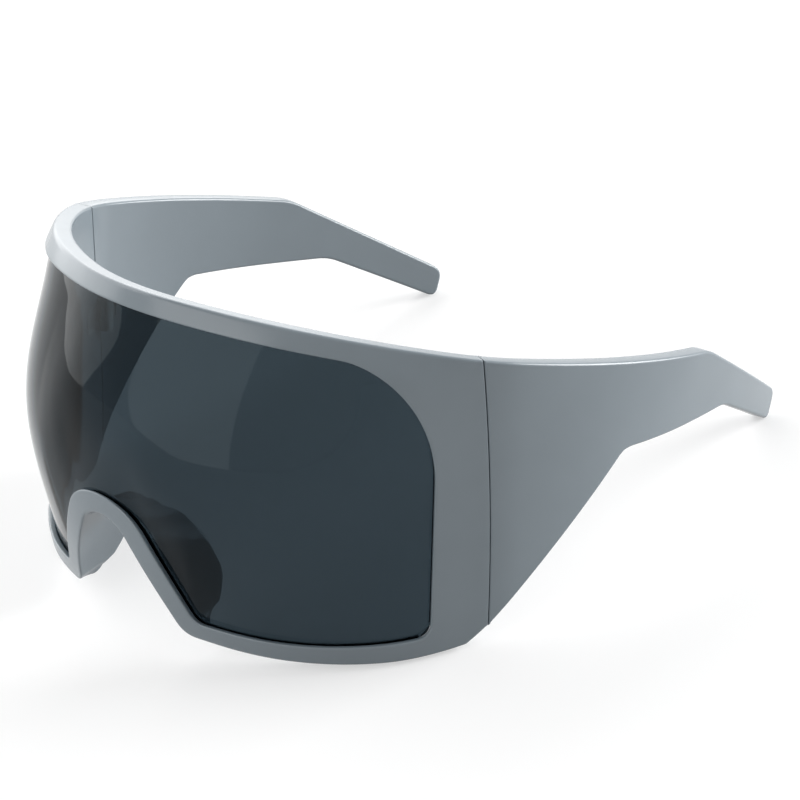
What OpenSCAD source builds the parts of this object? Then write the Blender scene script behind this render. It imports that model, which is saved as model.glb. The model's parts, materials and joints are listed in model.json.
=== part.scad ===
// Shield sunglasses with a one-piece wrap lens in a moulded frame and two folding temples.
// Millimetres. The glasses stand on the lower rim and the two temple tips, front towards -Y.
// Frame, lens and temples are drawn flat as a pattern, with s along the brow from the middle
// and z down from the top edge, and wrapped round the plan curve of the face.

/* [Plan curve] */
// Length of the tight curve at the middle of the brow, on each side
brow_mid_l = 14; // [12:0.5:16]
// Outer radius at the middle of the brow
brow_mid_r = 42; // [38:1:48]
// Length of the brow curve beside it
brow_side_l = 57.5; // [55:0.5:60]
// Outer radius of the brow beside the middle
brow_side_r = 98; // [92:1:105]
// Length of the temple corner, which holds the seam
corner_l = 18; // [16:0.5:20]
// Outer radius of the temple corner
corner_r = 43; // [40:1:48]
// Length of the temple's first curve
temple_l = 55; // [50:1:60]
// Outer radius of the temple's first curve
temple_r = 130; // [120:2:145]
// Outer radius of the ear end
ear_r = 340; // [300:10:400]

/* [Front frame] */
// Thickness of the frame and the temples
wall_t = 4.2; // [3.8:0.1:4.6]
// Height of the front, from the top edge to the lower rim
front_h = 72.4; // [69.4:0.5:75.4]
// How far the lower rim lies behind the top edge
rake_y = 16; // [12:0.5:19]
// How far the front swells out at half height
front_swell = 7; // [5:0.25:9]
// Length of the brow that has the full swell, on each side
swell_s = 12; // [8:1:20]
// How far the sides of the front stand out below their top edge
side_out = 1.8; // [0.8:0.1:2.4]
// Height over which they step out from the top edge
side_out_h = 8; // [6:0.5:12]
// Distance from the middle to where the sides stand out fully
side_out_s = 40; // [34:1:48]
// Length over which the sides come back in towards the seam
side_in_s = 19; // [16:0.5:24]
// Rounding of the moulded edges
edge_c = 0.5; // [0.4:0.05:0.7]
// Height of the top bar
top_bar_h = 4.2; // [3.8:0.1:5]
// Height of the lower rim
rim_h = 4; // [3.6:0.1:4.6]
// Width of the side panel between the lens opening and the seam
side_panel_w = 9.4; // [8.8:0.1:10.5]
// Length of the opening's round upper corner
open_corner_s = 20; // [16:0.5:24]
// Height of the opening's round upper corner
open_corner_h = 23; // [18:0.5:27]
// Radius of the opening's lower corner
open_low_r = 3; // [2.5:0.25:4]
// Distance along the brow from the middle to where the lower rim starts to rise
rim_flat_s = 27; // [24:0.5:30]
// Radius of the rising lower rim
rim_r = 124; // [116:1:134]
// Distance from the seam to the bend of the lower rim
rim_end_s = 5; // [4:0.25:6.5]

/* [Nose] */
// Distance from the top edge to the nose arch
bridge_h = 50.1; // [47:0.1:52]
// Radius of the nose arch
nose_r = 6.8; // [6:0.1:7.5]
// Slope of the nose sides from upright, in degrees
nose_angle = 30; // [27:0.5:33]
// Width of the rim beside the nose
nose_band = 5; // [4.5:0.1:5.8]
// Height of the rim over the nose arch
arch_band = 4.6; // [4:0.1:5]
// Rounding of the lower nose corners
nose_corner = 3; // [2:0.25:4]
// Depth of the moulded nose rest behind the outer face
rest_d = 16.2; // [12:0.2:17]
// Thickness of the nose rest
rest_t = 2.2; // [1.9:0.1:2.6]
// How far the nose rest spreads outwards, as a share of its depth
rest_spread_share = 0.53; // [0.43:0.02:0.59]

/* [Lens] */
// Thickness of the lens
lens_t = 1.6; // [1.4:0.1:1.8]
// Thickness of the rim's lip in front of the lens
lip_t = 1.5; // [1.3:0.05:1.6]
// Thickness of that lip at the nose arch, where the lens lies nearly flush
arch_lip_t = 0.8; // [0.7:0.05:1]
// Distance from the middle to where the lip has its full thickness
arch_lip_s = 16; // [13:0.5:18]
// Depth of the lens groove
groove_d = 1.4; // [1.3:0.05:1.6]
// How far the lens reaches into the groove
lens_bite = 0.7; // [0.5:0.05:0.8]
// Clearance of the lens in its groove, on each side
lens_gap = 0.12; // [0.1:0.01:0.15]
// How far the lens swells out past its groove at half height
lens_swell = 2.6; // [1:0.1:3.5]
// Length over which the lens swell dies out towards its ends
lens_fade_s = 30; // [25:1:35]

/* [Temples] */
// Distance along the brow from the middle to the top of the seam
seam_s = 79; // [78:0.1:81]
// How far the seam runs back towards its foot
seam_run = 3.5; // [2:0.25:4.5]
// Height of the seam
seam_h = 57.5; // [55:0.5:60]
// Gap at the seam
seam_gap = 0.2; // [0.15:0.01:0.3]
// Chamfer of the seam's edges
seam_c = 0.3; // [0.2:0.05:0.4]
// Distance from the middle to the bend at the end of the sloping lower edge
bend_s = 122; // [117:0.5:126]
// Height of the temple at that bend
bend_h = 19.2; // [17:0.2:21]
// How far the middle of the sloping edge is hollowed upwards
slope_sag = 0.5; // [0:0.1:1]
// Distance from the middle to where the top edge turns down
ear_s = 150; // [146:0.5:153]
// Distance from the middle to where the lower edge turns down
ear_low_s = 163.5; // [160:0.5:166]
// Height of the temple there
ear_low_h = 13.8; // [12.5:0.1:15]
// Distance from the middle to the end of the tip
tip_s = 197; // [193:0.5:201]
// How far the tip's upper corner lies below the top edge
tip_top_h = 15; // [13:0.25:17]
// Height of the tip
tip_h = 7.2; // [6:0.1:8]
// Rounding of the tip's corners
tip_c = 2.6; // [1.5:0.1:3]
// Rounding length of the temple's bends
bend_c = 3; // [1.5:0.25:4]

/* [Hinge] */
// Depth of the hinge below the top edge
hinge_h = 25; // [20:0.5:32]
// Radius of the hinge barrels
barrel_r = 1.6; // [1.4:0.05:1.7]
// Distance of the hinge axis from the inner face
axis_in = 1.9; // [1.85:0.05:2.2]
// Height of one barrel
barrel_h = 2.6; // [2.2:0.1:3]
// Gap between barrels
barrel_gap = 0.1; // [0.06:0.02:0.2]
// Radius of the hinge screw's shank
pin_r = 0.7; // [0.6:0.05:0.8]
// Running clearance round the hinge screw
pin_gap = 0.04; // [0.02:0.01:0.08]
// Radius of the hinge screw's head
pin_head_r = 1.2; // [1.05:0.05:1.35]
// Height of the hinge screw's head
pin_head_h = 0.6; // [0.4:0.05:0.8]
// Width of the screwdriver slots
slot_w = 0.35; // [0.25:0.05:0.45]
// Depth of the screwdriver slots
slot_d = 0.25; // [0.15:0.05:0.3]
// Length of a hinge leaf from the barrel axis
leaf_l = 7.6; // [7:0.1:8]
// Height of a hinge leaf
leaf_h = 6.4; // [5.6:0.1:7]
// Thickness of a hinge leaf
leaf_t = 1; // [0.9:0.05:1.1]
// How deep the leaf's pocket lies below the inner face at the seam
pocket_d = 0.6; // [0.5:0.05:0.7]
// Clearance round a leaf in its pocket
leaf_gap = 0.1; // [0.06:0.01:0.15]
// Radius of the fixing screws
screw_r = 0.5; // [0.45:0.05:0.6]
// Radius of the fixing screws' heads
screw_head_r = 0.95; // [0.85:0.05:1.05]
// How deep the fixing screws go into the plastic
screw_in = 1.7; // [1.4:0.1:1.8]
// Clearance round the fixing screws
screw_gap = 0.03; // [0.02:0.01:0.05]

/* [Hidden] */

frame_grey = [0.52, 0.55, 0.58];
lens_grey = [0.16, 0.19, 0.22, 0.75];
hinge_steel = [0.72, 0.73, 0.75];
screw_steel = [0.6, 0.61, 0.63];

$fn = 48;
// Extra length of every cut, so that it breaks through cleanly
cut = 0.5;

// Plan curve: arcs that join smoothly, each [length, radius]
plan_arcs = [
    [brow_mid_l, brow_mid_r],
    [brow_side_l, brow_side_r],
    [corner_l, corner_r],
    [temple_l, temple_r],
    [tip_s, ear_r],
];
function turn(l, r) = l / r * 180 / PI;
function along(p, l, r) = [
    p[0] + r * (sin(p[2] + turn(l, r)) - sin(p[2])),
    p[1] + r * (cos(p[2]) - cos(p[2] + turn(l, r))),
    p[2] + turn(l, r),
];
// Point and direction [x, y, angle] at arc length s from the middle
function plan(s, k = 0, p = [0, 0, 0]) =
    s <= plan_arcs[k][0] || k == len(plan_arcs) - 1 ? along(p, s, plan_arcs[k][1])
    : plan(s - plan_arcs[k][0], k + 1, along(p, plan_arcs[k][0], plan_arcs[k][1]));

function clamp01(t) = min(1, max(0, t));
function ease(t) = let (c = clamp01(t)) c * c * (3 - 2 * c);
// Where the middle of a rounded edge lies, as a share of its radius
round_share = 1 - sqrt(1 / 2);
// Rake per unit of height: full across the front, and gone at the temple's bend
function rake(s) =
    let (q = clamp01((s - seam_s) / (bend_s - seam_s)))
    rake_y / front_h * (1 - q) / (1 - (1 - bend_h / seam_h) * q);
function swell(s) = front_swell * (1 - ease((s - swell_s) / (seam_s - swell_s)));
function step_out(s) =
    side_out * ease(s / side_out_s) * (1 - ease((s - seam_s + side_in_s) / side_in_s));
// The flat pattern's point q = [s, z], at depth d behind the outer face, wrapped into space
function wrap(q, d) =
    let (
        a = abs(q[0]),
        side = q[0] < 0 ? -1 : 1,
        p = plan(a),
        u = clamp01(-q[1] / front_h),
        rise = sin(90 * clamp01(-q[1] / side_out_h)),
        off = d - 4 * swell(a) * u * (1 - u) - step_out(a) * rise
    )
    [side * (p[0] - off * sin(p[2])), p[1] + off * cos(p[2]) - q[1] * rake(a), q[1]];

// Outline helpers: n points each, without the last
function run(a, b, n) = [for (k = [0 : n - 1]) a + (b - a) * k / n];
function bow(a, b, c, n) =
    [for (k = [0 : n - 1]) let (t = k / n) a * (1 - t) ^ 2 + b * 2 * t * (1 - t) + c * t ^ 2];
function ellipse_arc(c, rs, rz, a0, a1, n) =
    [for (k = [0 : n - 1]) let (a = a0 + (a1 - a0) * k / n) c + [rs * cos(a), rz * sin(a)]];
function unit2(v) = v / norm(v);
function mirrored(list) = [for (k = [len(list) - 2 : -1 : 1]) [-list[k][0], list[k][1]]];

// Seam line at depth z below the top edge
function seam(z) = let (u = z / seam_h) [seam_s + seam_run * (1 - (1 - u) ^ 2), -z];
// Lower rim: flat in the middle, then rising on a radius
function rim_z(s, up) = up - front_h + max(0, s - rim_flat_s) ^ 2 / (2 * (rim_r - up));
// Nose sides: the line that touches a circle of radius r round the arch's centre
arch_z = -bridge_h - nose_r;
function nose_s(z, r) = (r - (z - arch_z) * sin(nose_angle)) / cos(nose_angle);
function nose_touch(r) = [r * cos(nose_angle), arch_z + r * sin(nose_angle)];
opening_nose_r = nose_r + nose_band;
function arch_r(a) =
    opening_nose_r - (nose_band - arch_band) * ease((a - nose_angle) / (90 - nose_angle));

// Right half of the frame's outer outline and of the lens opening, from the brow's middle to
// the nose arch. Both have the same number of points in each stretch.
brow_n = 11;
corner_n = 12;
corner_side_n = 4;
side_n = 6;
low_corner_n = 3;
rim_n = 13;
nose_corner_n = 3;
nose_n = 7;
arch_n = 6;
open_s = seam_s - side_panel_w;
opening_corner = [open_s - open_corner_s, -top_bar_h - open_corner_h];
seam_foot = seam(seam_h);
rim_bend = [seam_foot[0] - rim_end_s, rim_z(seam_foot[0] - rim_end_s, 0)];
outer_nose = [nose_s(-front_h, nose_r), -front_h];
inner_nose = [nose_s(rim_h - front_h, opening_nose_r), rim_h - front_h];
low_corner = [open_s, rim_z(open_s, rim_h)];
low_corner_end = [open_s - open_low_r, rim_z(open_s - open_low_r, rim_h)];
nose_dir = [sin(nose_angle), -cos(nose_angle)];

outer_half = concat(
    run([0, 0], [opening_corner[0], 0], brow_n),
    run([opening_corner[0], 0], [seam_s, 0], corner_n - corner_side_n),
    [for (k = [0 : corner_side_n - 1]) seam(-opening_corner[1] * k / corner_side_n)],
    [for (k = [0 : side_n - 1])
        seam(-opening_corner[1] + (seam_h + opening_corner[1]) * k / side_n)],
    run(seam_foot, rim_bend, low_corner_n),
    [for (k = [0 : rim_n - 1])
        let (s = rim_bend[0] + (outer_nose[0] + nose_corner - rim_bend[0]) * k / rim_n)
        [s, rim_z(s, 0)]],
    bow(outer_nose + [nose_corner, 0], outer_nose, outer_nose - nose_corner * nose_dir,
        nose_corner_n),
    run(outer_nose - nose_corner * nose_dir, nose_touch(nose_r), nose_n),
    ellipse_arc([0, arch_z], nose_r, nose_r, nose_angle, 90, arch_n),
    [[0, -bridge_h]]
);
inner_half = concat(
    run([0, -top_bar_h], [opening_corner[0], -top_bar_h], brow_n),
    ellipse_arc(opening_corner, open_corner_s, open_corner_h, 90, 0, corner_n),
    run([open_s, opening_corner[1]], low_corner + [0, open_low_r], side_n),
    bow(low_corner + [0, open_low_r], low_corner, low_corner_end, low_corner_n),
    [for (k = [0 : rim_n - 1])
        let (s = low_corner_end[0] + (inner_nose[0] + rest_t - low_corner_end[0]) * k / rim_n)
        [s, rim_z(s, rim_h)]],
    bow(inner_nose + [rest_t, 0], inner_nose, inner_nose - rest_t * nose_dir, nose_corner_n),
    run(inner_nose - rest_t * nose_dir, nose_touch(opening_nose_r), nose_n),
    [for (k = [0 : arch_n - 1])
        let (a = nose_angle + (90 - nose_angle) * k / arch_n)
        [0, arch_z] + arch_r(a) * [cos(a), sin(a)]],
    [[0, arch_z + arch_r(90)]]
);
outer_line = concat(outer_half, mirrored(outer_half));
inner_line = concat(inner_half, mirrored(inner_half));

// How far the nose rest has grown at each station, from none at the corner to full
rest_first = brow_n + corner_n + side_n + low_corner_n + rim_n + nose_corner_n;
rest_half = [for (k = [0 : len(outer_half) - 1]) ease((k - rest_first + nose_corner_n + 1) / nose_n)];
// How much of its spread the rest has: none on the rim and none at the top of the arch
spread_half = [for (k = [0 : len(outer_half) - 1])
    min(clamp01((k - rest_first) / nose_corner_n + 3 / 2),
        ease((rest_first + nose_n + 3 / 4 * arch_n - k) / nose_n))];
function both_sides(half) = concat(half, [for (k = [len(half) - 2 : -1 : 1]) half[k]]);
rest_line = both_sides(rest_half);
spread_line = both_sides(spread_half);
function on_seam(k) =
    let (j = min(k, len(outer_line) - k))
    j >= brow_n + corner_n - corner_side_n && j <= brow_n + corner_n + side_n;

// Thickness of the lip in front of the lens at q: thinner towards the nose arch
function groove_lip(q) =
    lip_t - (lip_t - arch_lip_t) * (1 - ease(abs(q[0]) / arch_lip_s))
    * clamp01((q[1] + top_bar_h) / (arch_z + arch_r(90) + top_bar_h));

// One cross-section of the frame at station k, round from the outer edge's front corner
function frame_section(k) =
    let (
        o = outer_line[k],
        i = inner_line[k],
        e = unit2(i - o),
        w = norm(i - o),
        c = on_seam(k) ? seam_c : edge_c,
        m = round_share * c,
        edge_m = round_share * edge_c,
        g = rest_line[k],
        lean = rest_spread_share * spread_line[k],
        root = min(w - edge_c, rest_t + lean * wall_t),
        deep = wall_t + (rest_d - wall_t) * g,
        tip_w = c + (rest_t - edge_c - c) * g,
        lip = groove_lip(i),
        groove_back = lip + lens_t + 2 * lens_gap
    )
    [
        wrap(o + e * c, 0),
        wrap(o + e * w / 2, 0),
        wrap(i - e * edge_c, 0),
        wrap(i - e * edge_m, edge_m),
        wrap(i, edge_c),
        wrap(i, lip),
        wrap(i - e * groove_d, lip),
        wrap(i - e * groove_d, groove_back),
        wrap(i, groove_back),
        wrap(i, wall_t),
        wrap(o + e * (w / 2 + (root - w / 2) * max(g, spread_line[k])), wall_t),
        wrap(o + e * (lean * deep + tip_w), deep),
        wrap(o + e * (lean * deep + m), deep - m),
        wrap(o + e * lean * (deep - c), deep - c),
        wrap(o, c),
        wrap(o + e * m, m),
    ];
frame_sections = [for (k = [0 : len(outer_line) - 1]) frame_section(k)];

// Triangles between the sections of a loft, each of n points
function strip(a, b, n) = [for (j = [0 : n - 1]) each
    [[a + j, b + j, b + (j + 1) % n], [a + j, b + (j + 1) % n, a + (j + 1) % n]]];
function ring_faces(count, n) =
    [for (k = [0 : count - 1]) each strip(k * n, (k + 1) % count * n, n)];
function all_points(sections) = [for (q = sections) each q];

// Lens: columns from end to end, each from its lower edge to its upper edge
lens_half_n = 30;
lens_rows = 9;
lens_end_s = open_s + lens_bite;
function lens_top(s) =
    let (t = clamp01((s - opening_corner[0]) / (open_corner_s + lens_bite)))
    opening_corner[1] + (open_corner_h + lens_bite) * sqrt(1 - t ^ 2);
function lens_nose(s) =
    let (r = opening_nose_r - lens_bite, a = acos(min(1, s / r)))
    a > nose_angle ? arch_z + (arch_r(a) - lens_bite) * sin(a)
    : arch_z + (r - s * cos(nose_angle)) / sin(nose_angle);
function lens_low(s) =
    max(lens_nose(s), rim_z(s, rim_h) - lens_bite + max(0, s - low_corner_end[0]));
lens_columns = [for (k = [-lens_half_n : lens_half_n]) lens_end_s * k / lens_half_n];
// Depth of the lens's outer face at q, a share v of the way up: behind the lip at its edges,
// and swelling out between
function lens_depth(q, v) =
    groove_lip(q) + lens_gap
    - lens_swell * sin(180 * v) ^ 2
    * (1 - ease((abs(q[0]) - open_s + lens_fade_s) / lens_fade_s));
function lens_column(s) =
    let (
        a = abs(s),
        low = lens_low(a),
        high = lens_top(a),
        face = [for (j = [0 : lens_rows])
            let (v = j / lens_rows, q = [s, low + (high - low) * v]) [q, lens_depth(q, v)]]
    )
    concat(
        [for (f = face) wrap(f[0], f[1])],
        [for (j = [lens_rows : -1 : 0]) wrap(face[j][0], face[j][1] + lens_t)]
    );
lens_sections = [for (s = lens_columns) lens_column(s)];
// Closes the end of a loft whose section runs out along n points and back along n
function end_cap(a, n) = [for (j = [0 : n - 2]) each
    [[a + j, a + j + 1, a + 2 * n - 2 - j], [a + j, a + 2 * n - 2 - j, a + 2 * n - 1 - j]]];
function flipped(faces) = [for (f = faces) [f[0], f[2], f[1]]];
function loft_faces(count, n) = concat(
    [for (k = [0 : count - 2]) each strip(k * 2 * n, (k + 1) * 2 * n, 2 * n)],
    end_cap(0, n),
    flipped(end_cap((count - 1) * 2 * n, n))
);

// Temple: upper and lower outlines with the same number of points in each stretch
slope_n = 12;
strap_n = 9;
turn_n = 3;
ear_n = 8;
tip_n = 3;
seam_top_point = seam(0) + [seam_gap, 0];
seam_low_point = seam(seam_h) + [seam_gap, 0];
low_bend = [bend_s, -bend_h];
slope_end = toward(low_bend, seam_low_point, bend_c);
top_turn = [ear_s, 0];
low_turn = [ear_low_s, -ear_low_h];
tip_top = [tip_s, -tip_top_h];
tip_low = [tip_s - edge_c, -tip_top_h - tip_h];
function toward(a, b, l) = a + unit2(b - a) * l;
temple_upper = concat(
    [for (k = [0 : slope_n - 1])
        let (t = k / slope_n) seam_top_point + ([low_bend[0] - bend_c, 0] - seam_top_point) * t],
    run([low_bend[0] - bend_c, 0], [low_bend[0] + bend_c, 0], turn_n),
    run([low_bend[0] + bend_c, 0], top_turn - [bend_c, 0], strap_n),
    bow(top_turn - [bend_c, 0], top_turn, toward(top_turn, tip_top, bend_c), turn_n),
    run(toward(top_turn, tip_top, bend_c), toward(tip_top, top_turn, tip_c), ear_n),
    bow(toward(tip_top, top_turn, tip_c), tip_top, toward(tip_top, tip_low, tip_c), tip_n),
    [toward(tip_top, tip_low, tip_c)]
);
temple_lower = concat(
    bow(seam_low_point, (seam_low_point + slope_end) / 2 + [0, 2 * slope_sag], slope_end,
        slope_n),
    bow(slope_end, low_bend, toward(low_bend, low_turn, bend_c), turn_n),
    run(toward(low_bend, low_turn, bend_c), toward(low_turn, low_bend, bend_c), strap_n),
    bow(toward(low_turn, low_bend, bend_c), low_turn, toward(low_turn, tip_low, bend_c), turn_n),
    run(toward(low_turn, tip_low, bend_c), toward(tip_low, low_turn, tip_c), ear_n),
    bow(toward(tip_low, low_turn, tip_c), tip_low, toward(tip_low, tip_top, tip_c), tip_n),
    [toward(tip_low, tip_top, tip_c)]
);
// Temple: cross-section at station k, whose front end follows the seam's curve
temple_rows = 6;
function temple_section(k) =
    let (
        a = temple_upper[k],
        b = temple_lower[k],
        h = norm(b - a),
        c = min(edge_c, h / 4),
        m = round_share * c,
        follow = seam_run * (1 - min(1, k / slope_n)),
        flat = [for (j = [0 : temple_rows]) c + (h - 2 * c) * j / temple_rows],
        across = concat([0, m], flat, [h - m, h]),
        deep = concat([c, m], 0 * flat, [m, c]),
        line = [for (x = across) let (v = x / h) a + (b - a) * v + [follow * v * (1 - v), 0]]
    )
    concat(
        [for (j = [0 : len(line) - 1]) wrap(line[j], deep[j])],
        [for (j = [len(line) - 1 : -1 : 0]) wrap(line[j], wall_t - deep[j])]
    );
temple_sections = [for (k = [0 : len(temple_upper) - 1]) temple_section(k)];

// Resting pose: the glasses tip back until the lower rim and the temple tips share a plane
frame_points = all_points(frame_sections);
lens_points = all_points(lens_sections);
temple_points = all_points(temple_sections);
rim_feet = [for (p = frame_points) if (p[2] < arch_z) p];
tip_feet = [for (p = temple_points) if (p[2] < -tip_top_h && p[1] > plan(ear_s)[1]) p];
rest_tilt = atan(max([for (r = rim_feet)
    min([for (t = tip_feet) (t[2] - r[2]) / (t[1] - r[1])])]));
function stood_y(p) = p[1] * cos(rest_tilt) + p[2] * sin(rest_tilt);
function stood_z(p) = p[2] * cos(rest_tilt) - p[1] * sin(rest_tilt);
body_points = concat(frame_points, lens_points, temple_points);
floor_z = min([for (p = body_points) stood_z(p)]);
front_y = min([for (p = body_points) stood_y(p)]);
back_y = max([for (p = body_points) stood_y(p)]);

module stood() {
    translate([0, -(front_y + back_y) / 2, -floor_z]) rotate([-rest_tilt, 0, 0]) children();
}

// Hinge frame on the wearer's left: origin on the inner face at the seam, x back along the
// temple, y inwards, z up the hinge axis, which leans with the front's rake
rake_angle = atan(rake_y / front_h);
hinge_seam = seam(hinge_h);
hinge_turn = atan(cos(rake_angle) * tan(plan(hinge_seam[0])[2]));
module at_hinge() {
    translate(wrap(hinge_seam, wall_t)) rotate([rake_angle, 0, 0]) rotate([0, 0, hinge_turn])
        children();
}
// side is 1 for the wearer's left and -1 for the right
module on_side(side) {
    stood() if (side > 0) children(); else mirror([1, 0, 0]) children();
}

leaf_start = sqrt((barrel_r + leaf_gap) ^ 2 - (axis_in + pocket_d - leaf_t) ^ 2);
leaf_web_w = barrel_r - 2 * leaf_gap;
stack_h = 3 * barrel_h + 2 * barrel_gap;
screw_share = [0.44, 0.82];
function screw_x(k) = leaf_l * screw_share[k];

// dir is -1 for the leaf on the front and 1 for the leaf on the temple
module leaf_pocket(dir) {
    l = leaf_l + leaf_gap;
    translate([dir > 0 ? -cut : -l, -pocket_d, -leaf_h / 2 - leaf_gap])
        cube([l + cut, leaf_t + wall_t, leaf_h + 2 * leaf_gap]);
    for (z = [-1, 1])
        translate([dir > 0 ? -cut : -barrel_r - leaf_gap, -pocket_d,
            z * (stack_h / 4) - stack_h / 4 - leaf_gap])
            cube([barrel_r + leaf_gap + cut, leaf_t + wall_t, stack_h / 2 + 2 * leaf_gap]);
    for (k = [0 : 1])
        translate([dir * screw_x(k), cut - pocket_d, 0]) rotate([90, 0, 0])
            cylinder(r = screw_r + screw_gap, h = cut + screw_in + leaf_gap);
}

module leaf(dir) {
    mid_low = -barrel_h / 2;
    step = barrel_h + barrel_gap;
    knuckles = dir > 0 ? [mid_low] : [mid_low - step, mid_low + step];
    difference() {
        union() {
            translate([dir > 0 ? leaf_start : -leaf_l, -pocket_d, -leaf_h / 2])
                cube([leaf_l - leaf_start, leaf_t, leaf_h]);
            for (z = knuckles) {
                translate([0, axis_in, z]) cylinder(r = barrel_r, h = barrel_h);
                translate([dir > 0 ? leaf_gap : -leaf_gap - leaf_web_w, -pocket_d, z])
                    cube([leaf_web_w, axis_in + pocket_d, barrel_h]);
            }
        }
        translate([0, axis_in, -stack_h]) cylinder(r = pin_r + pin_gap, h = 2 * stack_h);
        for (k = [0 : 1])
            translate([dir * screw_x(k), leaf_t - pocket_d + cut, 0]) rotate([90, 0, 0]) {
                cylinder(r = screw_r + screw_gap, h = leaf_t + 2 * cut);
                cylinder(r = screw_head_r + screw_gap, h = cut + leaf_t / 2);
            }
    }
}

module leaf_screws(dir) {
    head_h = leaf_t / 2;
    for (k = [0 : 1])
        translate([dir * screw_x(k), leaf_t - pocket_d, 0]) rotate([90, 0, 0])
            difference() {
                union() {
                    cylinder(r = screw_r, h = leaf_t + screw_in);
                    cylinder(r = screw_head_r, h = head_h);
                }
                translate([-screw_head_r, -slot_w / 2, -slot_d])
                    cube([2 * screw_head_r, slot_w, 2 * slot_d]);
            }
}

module hinge_pin() {
    translate([0, axis_in, -stack_h / 2]) cylinder(r = pin_r, h = stack_h);
    translate([0, axis_in, stack_h / 2]) difference() {
        cylinder(r = pin_head_r, h = pin_head_h);
        translate([-pin_head_r, -slot_w / 2, pin_head_h - slot_d])
            cube([2 * pin_head_r, slot_w, 2 * slot_d]);
    }
}

module front_frame() {
    color(frame_grey) stood() difference() {
        polyhedron(frame_points, ring_faces(len(frame_sections), len(frame_sections[0])));
        at_hinge() leaf_pocket(-1);
        mirror([1, 0, 0]) at_hinge() leaf_pocket(-1);
    }
}

module shield_lens() {
    color(lens_grey) stood()
        polyhedron(lens_points, loft_faces(len(lens_sections), lens_rows + 1));
}

module temple(side) {
    color(frame_grey) on_side(side) difference() {
        polyhedron(temple_points, loft_faces(len(temple_sections), temple_rows + 5));
        at_hinge() leaf_pocket(1);
    }
}

module hinge_leaf(side, dir) {
    color(hinge_steel) on_side(side) at_hinge() leaf(dir);
}

module fixing_screws(side, dir) {
    color(screw_steel) on_side(side) at_hinge() leaf_screws(dir);
}

module hinge_screw(side) {
    color(screw_steel) on_side(side) at_hinge() hinge_pin();
}

front_frame();
shield_lens();
temple(1);  // temple_left
temple(-1);  // temple_right
hinge_leaf(1, -1);  // hinge_front_leaf_left
hinge_leaf(-1, -1);  // hinge_front_leaf_right
hinge_leaf(1, 1);  // hinge_temple_leaf_left
hinge_leaf(-1, 1);  // hinge_temple_leaf_right
hinge_screw(1);  // hinge_screw_left
hinge_screw(-1);  // hinge_screw_right
fixing_screws(1, -1);  // front_leaf_screws_left
fixing_screws(-1, -1);  // front_leaf_screws_right
fixing_screws(1, 1);  // temple_leaf_screws_left
fixing_screws(-1, 1);  // temple_leaf_screws_right
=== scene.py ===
"""Looks of the shield sunglasses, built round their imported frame.

The front frame, the lens and the temples are lofted here again, finer than the solids, from the
same pattern: s runs along the brow from the middle, z up from the top edge, so that it is negative
on the part, and d back from the outer face. wrap() bends the pattern round the face, and place()
sets it down in metres in the resting pose. Sizes are in millimetres, but those of the studio and
those whose names end in _M are in metres.
"""

import json
from math import atan, atan2, cos, pi, radians, sin, tan

import bmesh
import bpy
import numpy as np
from mathutils import Matrix, Vector


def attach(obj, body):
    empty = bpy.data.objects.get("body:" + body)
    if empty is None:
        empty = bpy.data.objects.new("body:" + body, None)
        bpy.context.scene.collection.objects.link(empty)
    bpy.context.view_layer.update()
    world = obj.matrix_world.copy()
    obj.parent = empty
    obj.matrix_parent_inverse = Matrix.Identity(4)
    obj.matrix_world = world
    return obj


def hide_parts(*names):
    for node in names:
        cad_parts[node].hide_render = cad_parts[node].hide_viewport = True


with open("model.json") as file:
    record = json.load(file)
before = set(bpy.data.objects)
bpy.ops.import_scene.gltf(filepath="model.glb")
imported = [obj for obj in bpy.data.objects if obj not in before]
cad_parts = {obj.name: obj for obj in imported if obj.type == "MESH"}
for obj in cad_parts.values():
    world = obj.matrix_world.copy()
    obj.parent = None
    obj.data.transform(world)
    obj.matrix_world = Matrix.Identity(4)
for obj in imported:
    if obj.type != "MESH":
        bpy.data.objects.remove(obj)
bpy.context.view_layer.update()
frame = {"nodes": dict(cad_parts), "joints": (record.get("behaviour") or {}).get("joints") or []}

MM = 0.001

# Plan curve: arcs that join smoothly, each (length, outer radius), the last past the tips
TIP_S = 197
PLAN_ARCS = ((14, 42), (57.5, 98), (18, 43), (55, 130), (TIP_S, 340))

# Front frame
WALL_T = 4.2
FRONT_H = 72.4
RAKE_Y = 16
FRONT_SWELL = 7
SWELL_S = 12
SIDE_OUT = 1.8
SIDE_OUT_H = 8
SIDE_OUT_S = 40
SIDE_IN_S = 19
TOP_BAR_H = 4.2
RIM_H = 4
SEAM_S = 79
SEAM_RUN = 3.5
SEAM_H = 57.5
SEAM_GAP = 0.2
SIDE_PANEL_W = 9.4
OPEN_S = SEAM_S - SIDE_PANEL_W
OPEN_CORNER_S = 20
OPEN_CORNER_H = 23
OPEN_LOW_R = 3
RIM_FLAT_S = 27
RIM_R = 124
RIM_END_S = 5

# Nose
BRIDGE_H = 50.1
NOSE_R = 6.8
NOSE_ANGLE = radians(30)
NOSE_BAND = 5
ARCH_BAND = 4.6
NOSE_CORNER = 3
REST_D = 16.2
REST_T = 2.2
REST_SPREAD = 0.53

# Lens
LENS_T = 1.6
LIP_T = 1.5
ARCH_LIP_T = 0.8
ARCH_LIP_S = 16
GROOVE_D = 1.4
LENS_BITE = 0.7
LENS_GAP = 0.12
LENS_SWELL = 2.6
LENS_FADE_S = 30

# Temples
BEND_S = 122
BEND_H = 19.2
SLOPE_SAG = 0.5
EAR_S = 150
EAR_LOW_S = 163.5
EAR_LOW_H = 13.8
TIP_TOP_H = 15
TIP_H = 7.2
TIP_C = 2.6
TIP_BACK = 0.5
BEND_C = 3

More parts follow.
